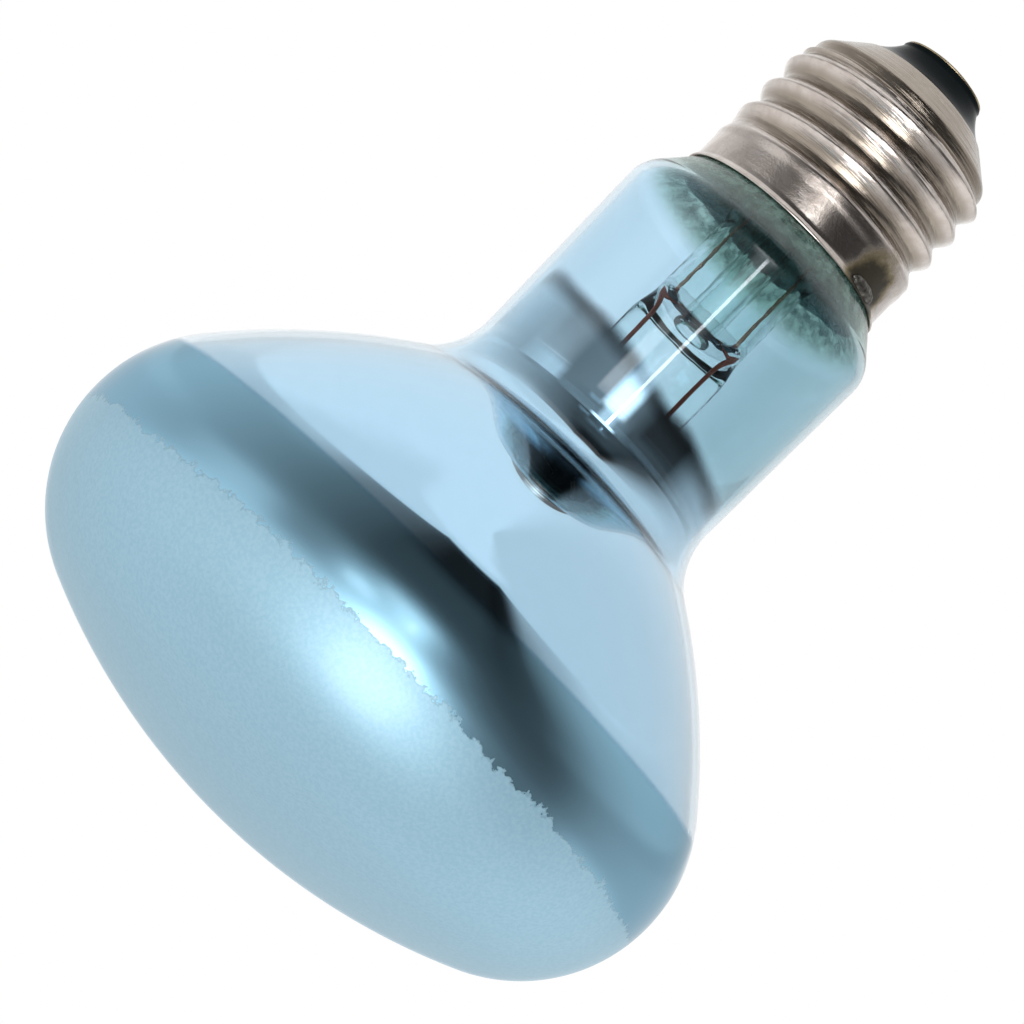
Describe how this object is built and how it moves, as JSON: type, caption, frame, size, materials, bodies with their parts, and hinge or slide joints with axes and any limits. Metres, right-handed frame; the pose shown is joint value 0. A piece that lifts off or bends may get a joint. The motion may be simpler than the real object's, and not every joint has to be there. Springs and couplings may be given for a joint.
{
  "type": "reflector bulb",
  "caption": "Blue-tinted mirrored reflector bulb with a domed frosted face, waisted neck and nickel-plated screw cap.",
  "frame": {"origin": "lowest point of the domed face, on the bulb's axis", "axes": "+Z along the bulb's axis from the face to the cap's contact; the side shown in the picture faces -Y"},
  "size_m": [0.08, 0.08, 0.111],
  "materials": {
    "tinted_glass": "clear outside, frosted inside over the face",
    "mirror_film": "evaporated aluminium",
    "nickel_plate": "nickel plate, slightly tarnished",
    "black_glass": "gloss, opaque",
    "brass": "dull",
    "solder": "dull grey with burnt flux",
    "cement": "matt",
    "clear_glass": "clear",
    "copper_clad_wire": "dark red copper oxide",
    "copper_wire": "bare copper",
    "nickel_wire": "bright",
    "molybdenum_wire": "bright",
    "tungsten_wire": "dark grey"
  },
  "bodies": {
    "root": {"glass_envelope": "tinted_glass", "mirror_coating": "mirror_film", "cap_shell": "nickel_plate", "cap_insulator": "black_glass", "contact_plate": "brass", "centre_solder": "solder", "side_solder": "solder", "basing_cement": "cement", "stem_tube": "clear_glass", "exhaust_tube": "clear_glass", "arbor": "clear_glass", "dumet_right": "copper_clad_wire", "dumet_left": "copper_clad_wire", "outer_lead_centre": "copper_wire", "outer_lead_side": "copper_wire", "lead_right": "nickel_wire", "lead_left": "nickel_wire", "support_wire_1": "molybdenum_wire", "support_wire_2": "molybdenum_wire", "support_wire_3": "molybdenum_wire", "filament": "tungsten_wire"}
  },
  "joints": []
}
